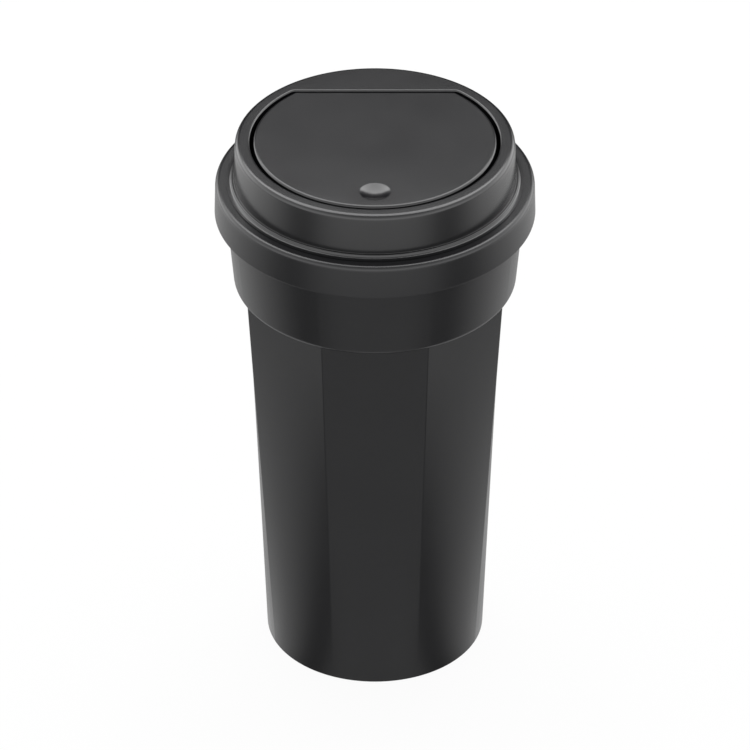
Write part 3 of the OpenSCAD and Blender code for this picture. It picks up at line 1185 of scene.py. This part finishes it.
@dataclass
class Studio:
    """The white floor and room, the soft lamp and the camera.

    The ramps set how bright the floor and the room look in the bin's gloss. Each holds places from 0 to 1 and
    numbers. The places are azimuths in cards, sides and back_reach, metres from the bin in painted_floor_shade_by_distance and
    gap_reach, and the rise of the direction in walls and back_wall.
    """

    world_strength: float = 0.45
    floor_colour: str = "#e6e6e6"
    floor_white: float = 0.95
    floor_reach: float = 4.0
    # Painted light and shade on the floor by azimuth, seen only in reflections: painted shadows of the bin towards
    # its front sides, and painted light behind them
    painted_floor_light_by_azimuth: Stops = (
        (0, 1.05), (0.12, 1.05), (0.19, 0.95), (0.245, 0.7), (0.295, 0.41), (0.345, 0.35), (0.4, 0.5), (0.46, 0.82),
        (0.53, 1.1), (0.66, 1.3), (0.78, 1.18), (0.91, 0.95), (1, 0.9),
    )
    # Painted shade on the floor close to the bin, seen only in reflections; farther out the floor is brighter
    painted_floor_shade_by_distance: Stops = (
        (0, 0.72), (0.04, 0.68), (0.09, 0.6), (0.285, 0.6), (0.312, 0.82), (0.335, 1.37), (1, 1.37)
    )
    # Far out behind the bin the floor is painted dark in reflections; the next two set where and how dark
    gap_reach: Stops = ((0, 0.0), (0.3, 0.0), (0.45, 1.0), (1, 1.0))
    painted_dark_behind: float = 0.02
    parallax: float = 0.021
    walls: Stops = ((0, 2.0), (0.12, 2.5), (0.35, 2.4), (0.6, 1.7), (0.78, 1.2), (0.93, 0.7), (1, 0.7))
    sides: Stops = ((0, 1.0), (0.56, 1.0), (0.64, 1.45), (1, 1.45))
    back_wall: Stops = ((0, 0.02), (0.3, 0.02), (0.52, 0.28), (0.7, 0.4), (1, 0.4))
    back_reach: Stops = ((0, 0.0), (0.79, 0.0), (0.87, 1.0), (1, 1.0))
    lamp_radiance: float = 3.05
    lamp_size: Point = (2.8, 2.3)
    lamp_distance: float = 2.4
    lamp_elevation: float = 65.0
    aim_height: float = 0.09
    lens_mm: float = 331.0
    sensor_mm: float = 36.0
    camera_place: tuple[float, float, float] = (0.0, -1.6864, 1.24615)
    camera_tilt: float = 55.554
    clip_end: float = 20.0

    def _reflected_strength(self, tree: NodeTree) -> Node:
        """Make the floor's strength in reflections, which is painted light and shade: painted shadows of the bin
        towards its front sides, painted light behind them, painted shade close to the bin and painted dark far out
        behind it.

        Args:
            tree: The floor's tree.

        Returns:
            The node that gives the strength.
        """
        place = add_node(tree, "ShaderNodeTexCoord").outputs["Object"]
        distance = add_node(tree, "ShaderNodeVectorMath", {0: place}, operation="LENGTH").outputs["Value"]
        # A ray left the bin's side in a wider azimuth than the place where it lands, most of all close by
        wider = add_node(tree, "ShaderNodeMath", {0: self.parallax, 1: distance}, operation="DIVIDE")
        place_azimuth = find_azimuth(tree, place)
        azimuth = add_node(
            tree, "ShaderNodeMath", {0: place_azimuth, 1: wider, 2: place_azimuth}, operation="MULTIPLY_ADD"
        )
        # Painted shadows and light by azimuth, times painted shade close to the bin
        painted_floor_light_by_azimuth = read_ramp(tree, azimuth, self.painted_floor_light_by_azimuth)
        reach = read_ramp(tree, distance, self.painted_floor_shade_by_distance)
        near = add_node(tree, "ShaderNodeMath", {0: painted_floor_light_by_azimuth, 1: reach}, operation="MULTIPLY")
        # Painted dark on the floor far out behind the bin
        far = read_ramp(tree, distance, self.gap_reach)
        back = read_ramp(tree, azimuth, self.back_reach)
        gap = add_node(tree, "ShaderNodeMath", {0: far, 1: back}, operation="MULTIPLY")
        return add_node(tree, "ShaderNodeMix", {"Factor": gap, "A": near, "B": self.painted_dark_behind}, data_type="FLOAT")

    def _build_floor(self) -> None:
        """Lay the floor, which shows white with a faint shadow, and which carries painted light and shade in
        reflections.
        """
        material, tree = empty_material("matt_white_sweep")
        path = add_node(tree, "ShaderNodeLightPath").outputs
        camera, glossy = path["Is Camera Ray"], path["Is Glossy Ray"]
        seen = add_node(tree, "ShaderNodeMath", {0: camera, 1: path["Is Transmission Ray"]}, operation="MAXIMUM")
        direct = add_node(tree, "ShaderNodeMath", {0: seen, 1: glossy}, operation="MAXIMUM")
        share = add_node(tree, "ShaderNodeMath", {0: direct, 1: self.floor_white}, operation="MULTIPLY")
        # The camera sees the floor mostly even white, and reflections see mostly its painted light and shade
        reflected = self._reflected_strength(tree)
        strength = add_node(tree, "ShaderNodeMix", {"Factor": glossy, "A": 1.0, "B": reflected}, data_type="FLOAT")
        matt = add_node(tree, "ShaderNodeBsdfDiffuse", {"Color": linear(self.floor_colour)})
        white = add_node(tree, "ShaderNodeEmission", {"Color": (1, 1, 1, 1), "Strength": strength})
        mixed = add_node(tree, "ShaderNodeMixShader", {0: share, 1: matt, 2: white})
        add_node(tree, "ShaderNodeOutputMaterial", {"Surface": mixed})
        mesh = bmesh.new()
        bmesh.ops.create_grid(mesh, x_segments=1, y_segments=1, size=self.floor_reach)
        data = bpy.data.meshes.new("floor")
        mesh.to_mesh(data)
        mesh.free()
        data.materials.append(material)
        floor = bpy.data.objects.new("floor", data)
        bpy.context.scene.collection.objects.link(floor)

    def _build_world(self) -> None:
        """Light the room evenly, and show its walls in reflections: white, brightest low down, and dark behind."""
        world = bpy.data.worlds.new("room")
        bpy.context.scene.world = world
        world.use_nodes = True
        tree = world.node_tree
        tree.nodes.clear()
        path = add_node(tree, "ShaderNodeLightPath").outputs
        camera, glossy = path["Is Camera Ray"], path["Is Glossy Ray"]
        way = add_node(tree, "ShaderNodeTexCoord").outputs["Generated"]
        rise = add_node(tree, "ShaderNodeSeparateXYZ", {0: way}).outputs["Z"]
        azimuth = find_azimuth(tree, way)
        level, side = read_ramp(tree, rise, self.walls), read_ramp(tree, azimuth, self.sides)
        walls = add_node(tree, "ShaderNodeMath", {0: level, 1: side}, operation="MULTIPLY")
        share, back = read_ramp(tree, azimuth, self.back_reach), read_ramp(tree, rise, self.back_wall)
        seen = add_node(tree, "ShaderNodeMix", {"Factor": share, "A": walls, "B": back}, data_type="FLOAT")
        lit = {"Factor": glossy, "A": self.world_strength, "B": seen}
        reflected = add_node(tree, "ShaderNodeMix", lit, data_type="FLOAT")
        strength = add_node(tree, "ShaderNodeMix", {"Factor": camera, "A": reflected, "B": 1.0}, data_type="FLOAT")
        room = add_node(tree, "ShaderNodeBackground", {"Color": (1, 1, 1, 1), "Strength": strength})
        add_node(tree, "ShaderNodeOutputWorld", {"Surface": room})

    def _build_lamp(self) -> None:
        """Hang the soft lamp, which faces the bin from above its back."""
        lamp = bpy.data.lights.new("top", "AREA")
        lamp.shape = "RECTANGLE"
        width, height = self.lamp_size
        lamp.size, lamp.size_y = width, height
        lamp.energy = 4 * width * height * self.lamp_radiance
        aim = UP * self.aim_height
        place = aim + Vector((0, *polar(self.lamp_distance, self.lamp_elevation)))
        holder = bpy.data.objects.new("top", lamp)
        holder.location = place
        holder.rotation_euler = (place - aim).to_track_quat("Z", "Y").to_euler()
        bpy.context.scene.collection.objects.link(holder)

    def _build_camera(self) -> None:
        """Set the camera where the photo was taken from."""
        camera = bpy.data.cameras.new("camera")
        camera.lens = self.lens_mm
        camera.sensor_width = self.sensor_mm
        camera.clip_end = self.clip_end
        holder = bpy.data.objects.new("camera", camera)
        holder.location = self.camera_place
        holder.rotation_euler = (radians(self.camera_tilt), 0.0, 0.0)
        bpy.context.scene.collection.objects.link(holder)
        bpy.context.scene.camera = holder

    def build(self) -> None:
        """Set up the studio."""
        bpy.context.scene.view_settings.view_transform = "Standard"
        self._build_floor()
        self._build_world()
        self._build_camera()
        self._build_lamp()


def main() -> None:
    """Build the bin and its studio."""
    logging.basicConfig(level=logging.INFO, format="%(message)s")
    satin = MouldedPolypropylene(
        "moulded_polypropylene_satin", "#18181a", "#1b1b1d",
        roughness=0.24, roughness_swing=0.02, specular=0.45, grain_mm=0.5, grain_depth_mm=0.003,
    ).build()
    smooth = MouldedPolypropylene(
        "moulded_polypropylene_smooth", "#151517", "#171719",
        roughness=0.2, roughness_swing=0.015, specular=0.56, grain_mm=0.6, grain_depth_mm=0.002,
    ).build()
    steel = DrawnSteel("drawn_spring_steel", "#a9abae", 0.28).build()
    line = HingeLine()
    Studio().build()
    Bucket(satin).build()
    Collar(satin).build()
    LidRing(smooth, line).build()
    Flap(smooth, line).build()
    Hinge(steel, line).build()


if __name__ == "__main__":
    main()
